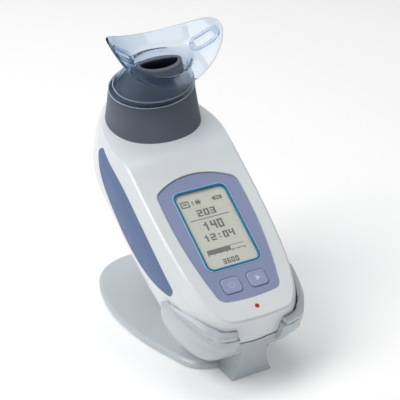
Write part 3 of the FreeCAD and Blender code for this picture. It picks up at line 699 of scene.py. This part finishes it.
def in_pocket(face):
    middle = face.calc_center_median()
    low, high = POCKET_LEVELS
    return (abs(middle.x) < POCKET_HALF and face.normal.y > POCKET_FACING
            and low < middle.z < high and middle.y > POCKET_HEIGHT)


def exhale_pocket(shape):
    """Sunk pocket on the collar's top edge, with the exhale port in its floor."""
    spots = [f for f in shape.faces if in_pocket(f)]
    for depth, inset in POCKET_STEPS:
        if inset:
            bmesh.ops.inset_region(shape, faces=spots, thickness=inset)
        grown = bmesh.ops.extrude_face_region(shape, geom=spots)["geom"]
        bmesh.ops.delete(shape, geom=spots, context="FACES")
        bmesh.ops.translate(shape, vec=(0, -depth, 0), verts=moved_verts(grown))
        spots = [g for g in grown if isinstance(g, bmesh.types.BMFace)]


def valve_collar():
    places = [collar_ring(share) for share in WALL_SHARES]
    places += [deck_ring(RING_SPREAD, RING_HEIGHT, RING_LEVEL, inset) for inset in DECK_INSETS]
    places += [deck_ring(SPIGOT_FOOT, RING_HEIGHT, RING_LEVEL + rise, inset)
               for rise, inset in SPIGOT_STARTS]
    places += [deck_ring(SPIGOT_SPREAD, SPIGOT_HEIGHT, SPIGOT_LEVEL - drop, inset)
               for drop, inset in SPIGOT_LIP]
    places += [deck_ring(SPIGOT_FOOT, RING_HEIGHT, RING_LEVEL - DECK_THICK, SPIGOT_WALL),
               deck_ring(RING_SPREAD, RING_HEIGHT, RING_LEVEL - DECK_THICK, COLLAR_WALL)]
    places += [collar_ring(share, COLLAR_WALL) for share in INNER_SHARES]
    shape = ring_loft(places, closed=True)
    exhale_pocket(shape)
    bmesh.ops.recalc_face_normals(shape, faces=shape.faces)
    head = add_piece("valve_collar", shape, SLATE, "head")
    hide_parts("valve_head")


display_rim()
display_line()
display_sheets()
display_marks()
power_sign()
select_sign()
mouthpiece()
valve_collar()


# Cradle lip: the two arms that hug the handset's lower end

# Handset's body: half width, middle and reach of its face, and how it swells behind the face
FACE_HALF = 32.0
FACE_MIDDLE = 70.0
FACE_REACH = 76.5
KNEE = 12.0
WIDEST = 18.0
BACK_SPAN = 26.5
# Swell to the knee and tuck behind it, at the sides and at the ends
SIDE_SWELL = (6.6, 16.0)
END_SWELL = (3.9, 22.0)
# Body outline beside the lip, as half width and height, from the side to the lower end
BODY_SIDE = ((31.36, 47.0), (29.6, 25.4), (24.7, 4.6), (21.7, -0.96), (18.74, -4.22),
             (9.6, -6.0), (0.0, -6.5))
OUTLINE_STEPS = 8
# Lip: tip height, half width where it ends, offsets from the body and lowest edge's depth
LIP_TOP = 23.4
LIP_END = 12.0
LIP_OFFSETS = (0.7, 3.9)
LIP_BACK = 18.2
LIP_LEAST = 0.8
LIP_CORNERS = 7
LIP_THINNING = 0.45
LIP_ROUNDS = (0.3, 0.35, 0.5, 0.6)


def body_swell(depth, swell, offset):
    most, tucked = swell

    def tuck(d):
        return 1 - math.sqrt(1 - ((d - WIDEST) / (BACK_SPAN + offset)) ** 2)

    if depth < KNEE:
        return depth / KNEE * (most - tucked * tuck(KNEE))
    return most - tucked * tuck(depth)


def body_skin(spot, depth, offset):
    """Point on the handset's skin, or outside it by an offset, at a depth behind the face."""
    half, height = spot
    across = (FACE_HALF + body_swell(depth, SIDE_SWELL, offset) + offset) / FACE_HALF
    low = (FACE_REACH + body_swell(depth, END_SWELL, offset) + offset) / FACE_REACH
    return Vector((half * across, FACE_MIDDLE + (height - FACE_MIDDLE) * low, -depth))


def lip_spots():
    """Places on a smooth curve along the body outline, from the lip's tip to its end."""
    spots = []
    for i in range(1, len(BODY_SIDE) - 2):
        a, b, c, d = (Vector(p) for p in BODY_SIDE[i - 1:i + 3])
        for step in range(OUTLINE_STEPS):
            t = step / OUTLINE_STEPS
            spots.append(0.5 * (2 * b + (c - a) * t + (2 * a - 5 * b + 4 * c - d) * t ** 2
                                + (3 * b - a - 3 * c + d) * t ** 3))
    return [s for s in spots if s.y < LIP_TOP and s.x > LIP_END]


def lip_front(height):
    """Depth of the lip's upper edge, which falls back towards its tip."""
    return 5.2 + 0.222 * (height + 6) + 0.0083 * (height + 6) * (height - 7.5)


def lip_ring(spot):
    """Section of the lip at a place along the outline."""
    front = lip_front(spot.y)
    back = max(LIP_BACK, front + LIP_LEAST)
    inner, outer = LIP_OFFSETS
    thinned = outer * (1 - LIP_THINNING * max(0.0, spot.y / LIP_TOP))
    inside, near, edge, far = LIP_ROUNDS
    corners = ((front + near, inner), (front, inner + inside), (front, thinned - edge),
               (front + far, thinned), (back - edge, outer), (back, outer - edge),
               (back, inner))

    def place(a):
        corner = round((a - math.pi / 2) / math.tau * LIP_CORNERS) % LIP_CORNERS
        return body_skin(spot, *corners[corner])
    return place


def cradle_lip(name, side):
    shape = ring_loft([lip_ring(spot) for spot in lip_spots()], segments=LIP_CORNERS)
    bmesh.ops.holes_fill(shape, edges=shape.edges, sides=LIP_CORNERS)
    if side < 0:
        bmesh.ops.scale(shape, vec=(-1, 1, 1), verts=shape.verts)
    bmesh.ops.recalc_face_normals(shape, faces=shape.faces)
    add_piece(name, shape, CRADLE, "cradle", soften=0.3)


cradle_lip("left_arm_lip", -1)
cradle_lip("right_arm_lip", 1)


# Studio

AIM = (0, 0, 0.08)
WORLD_STRENGTH = 0.16
FLOOR_HALF = 6.0
FLOOR_TONE = (0.88, 0.88, 0.88)
FLOOR_GLOW = 0.17


def area_light(name, place, size, power, colour=(1, 1, 1)):
    """Round soft light, turned to the object."""
    lamp = bpy.data.lights.new(name, "AREA")
    lamp.shape = "DISK"
    lamp.size = size
    lamp.energy = power
    lamp.color = colour
    holder = bpy.data.objects.new(name, lamp)
    holder.location = place
    holder.rotation_mode = "QUATERNION"
    holder.rotation_quaternion = (Vector(AIM) - Vector(place)).to_track_quat("-Z", "Y")
    bpy.context.collection.objects.link(holder)


def studio():
    world = bpy.data.worlds.new("studio")
    world.use_nodes = True
    background = world.node_tree.nodes["Background"]
    background.inputs["Color"].default_value = (1, 1, 1, 1)
    background.inputs["Strength"].default_value = WORLD_STRENGTH
    bpy.context.scene.world = world
    area_light("key_light", (-0.85, 0.1, 1.1), 0.9, 11.5)
    area_light("fill_light", (0.9, -0.5, 0.8), 0.9, 1.5, (0.93, 0.96, 1.0))
    area_light("top_light", (0.1, 0.4, 1.3), 1.0, 7.5)


def floor():
    sheet = bmesh.new()
    bmesh.ops.create_grid(sheet, x_segments=1, y_segments=1, size=FLOOR_HALF)
    mesh = bpy.data.meshes.new("floor")
    sheet.to_mesh(mesh)
    sheet.free()
    ground = bpy.data.objects.new("floor", mesh)
    bpy.context.collection.objects.link(ground)
    material, nodes, links, shader = new_material("pale_floor")
    spread_colour(nodes, links, shader, noise(nodes, links, 0.4), FLOOR_TONE, 0.01)
    shader.inputs["Roughness"].default_value = 0.9
    shader.inputs["Emission Color"].default_value = (1, 1, 1, 1)
    shader.inputs["Emission Strength"].default_value = FLOOR_GLOW
    mesh.materials.append(material)


studio()
floor()
bpy.context.scene.view_settings.view_transform = "Standard"
